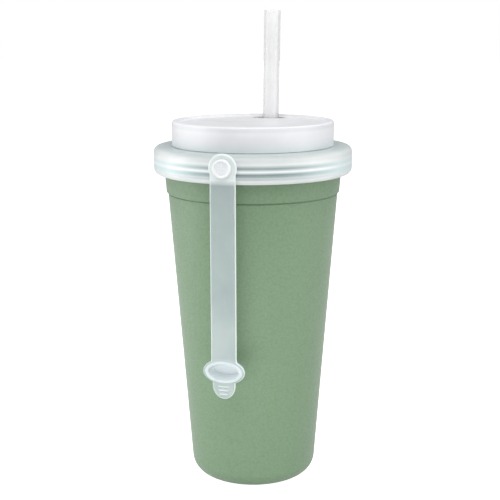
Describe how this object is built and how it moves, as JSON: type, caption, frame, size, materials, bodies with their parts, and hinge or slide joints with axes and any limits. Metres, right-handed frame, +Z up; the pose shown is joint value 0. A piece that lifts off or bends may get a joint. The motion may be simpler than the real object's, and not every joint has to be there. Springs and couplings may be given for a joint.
{
  "type": "insulated tumbler with straw lid",
  "caption": "Tapered double-wall tumbler with a stretch lid, a drinking straw and a swivelling strap with an oval stopper and pull tab.",
  "frame": {"origin": "centre of the base, on the surface that the cup stands on", "axes": "+Z up along the cup's axis; -Y is the side where the strap hangs; +Y is the side where the straw stands; +X to the right when the strap faces the viewer"},
  "size_m": [0.1072, 0.111, 0.2565],
  "materials": {
    "cup_shell": "sage green, matt, with a fine moulded grain",
    "cup_liner": "sage green, smooth satin",
    "cup_base": "sage green, matt",
    "lid_soft": "frosted translucent, soft",
    "lid_stiff": "milky translucent, satin",
    "stud": "frosted translucent, satin",
    "strap": "frosted translucent, soft",
    "straw": "frosted translucent, satin"
  },
  "bodies": {
    "cup": {"outer_shell": "cup_shell", "inner_liner": "cup_liner", "base_plate": "cup_base"},
    "lid": {"lid_skirt": "lid_soft", "lid_dome": "lid_stiff", "lid_stud": "stud"},
    "straw": {"straw": "straw"},
    "strap_head": {"strap_eyelet": "strap"},
    "strap_tail": {"strap_band": "strap", "stopper": "strap", "pull_tab": "strap"}
  },
  "joints": [
    {"name": "lid_lift", "type": "slide", "parent": "cup", "child": "lid", "axis": [0, 0, 1], "range_m": [0, 0.06]},
    {"name": "straw_slide", "type": "slide", "parent": "lid", "child": "straw", "axis": [0, 0.0628, 0.998], "range_m": [0, 0.12]},
    {"name": "strap_swivel", "type": "hinge", "parent": "lid", "child": "strap_head", "pos_m": [0, -0.05485, 0.1787], "axis": [0, -1, 0], "range_deg": [-180, 180]},
    {"name": "strap_flex", "type": "hinge", "parent": "strap_head", "child": "strap_tail", "pos_m": [0, -0.05485, 0.15], "axis": [-1, 0, 0], "range_deg": [0, 90]}
  ]
}
